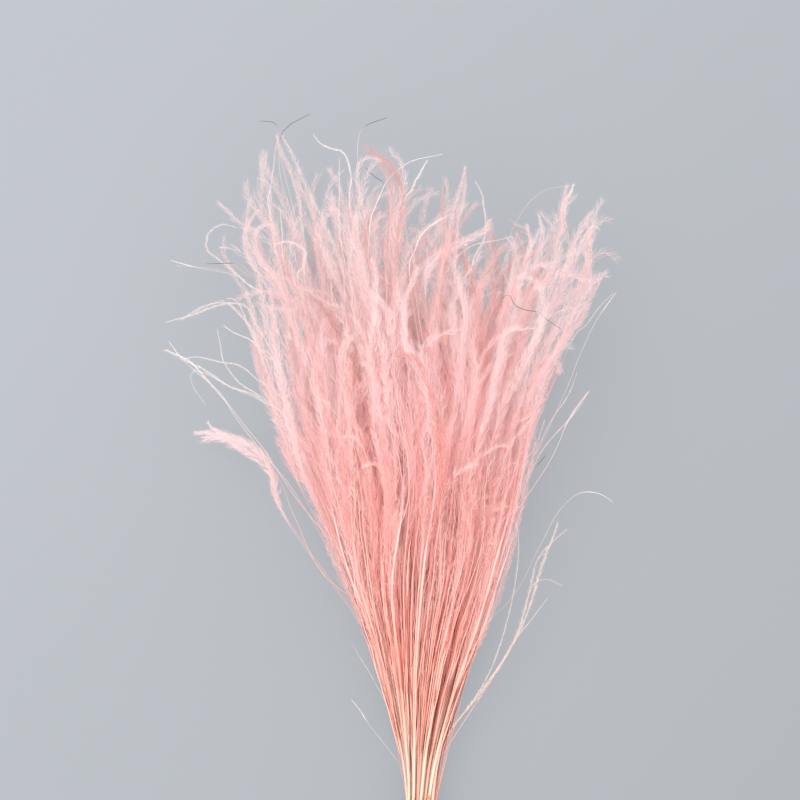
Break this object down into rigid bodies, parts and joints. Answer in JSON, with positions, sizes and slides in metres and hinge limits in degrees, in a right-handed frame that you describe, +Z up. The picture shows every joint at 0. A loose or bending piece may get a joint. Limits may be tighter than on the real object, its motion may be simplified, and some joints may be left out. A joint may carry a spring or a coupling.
{
  "type": "feather grass bundle",
  "caption": "Lying bundle of dyed dried feather grass: thin straws tied with twine near their cut ends, spreading into a wide head of long curling awns.",
  "frame": {"origin": "middle of the underside of the lying bundle's box", "axes": "+Y along the bundle from the cut ends to the tips, +Z up from the surface it lies on, +X across it"},
  "size_m": [0.281, 0.503, 0.1297],
  "materials": {
    "dyed_grass": "matt dried grass, dyed pink",
    "twine": "plain undyed twine"
  },
  "bodies": {
    "root": {"stem_01": "dyed_grass", "stem_02": "dyed_grass", "stem_03": "dyed_grass", "stem_04": "dyed_grass", "stem_05": "dyed_grass", "stem_06": "dyed_grass", "stem_07": "dyed_grass", "stem_08": "dyed_grass", "stem_09": "dyed_grass", "stem_10": "dyed_grass", "stem_11": "dyed_grass", "stem_12": "dyed_grass", "stem_13": "dyed_grass", "stem_14": "dyed_grass", "stem_15": "dyed_grass", "stem_16": "dyed_grass", "stem_17": "dyed_grass", "stem_18": "dyed_grass", "stem_19": "dyed_grass", "stem_20": "dyed_grass", "stem_21": "dyed_grass", "stem_22": "dyed_grass", "stem_23": "dyed_grass", "stem_24": "dyed_grass", "stem_25": "dyed_grass", "stem_26": "dyed_grass", "stem_27": "dyed_grass", "stem_28": "dyed_grass", "stem_29": "dyed_grass", "stem_30": "dyed_grass", "stem_31": "dyed_grass", "stem_32": "dyed_grass", "stem_33": "dyed_grass", "stem_34": "dyed_grass", "stem_35": "dyed_grass", "stem_36": "dyed_grass", "stem_37": "dyed_grass", "stem_38": "dyed_grass", "stem_39": "dyed_grass", "stem_40": "dyed_grass", "stem_41": "dyed_grass", "stem_42": "dyed_grass", "stem_43": "dyed_grass", "stem_44": "dyed_grass", "stem_45": "dyed_grass", "stem_46": "dyed_grass", "tie": "twine"}
  },
  "joints": []
}
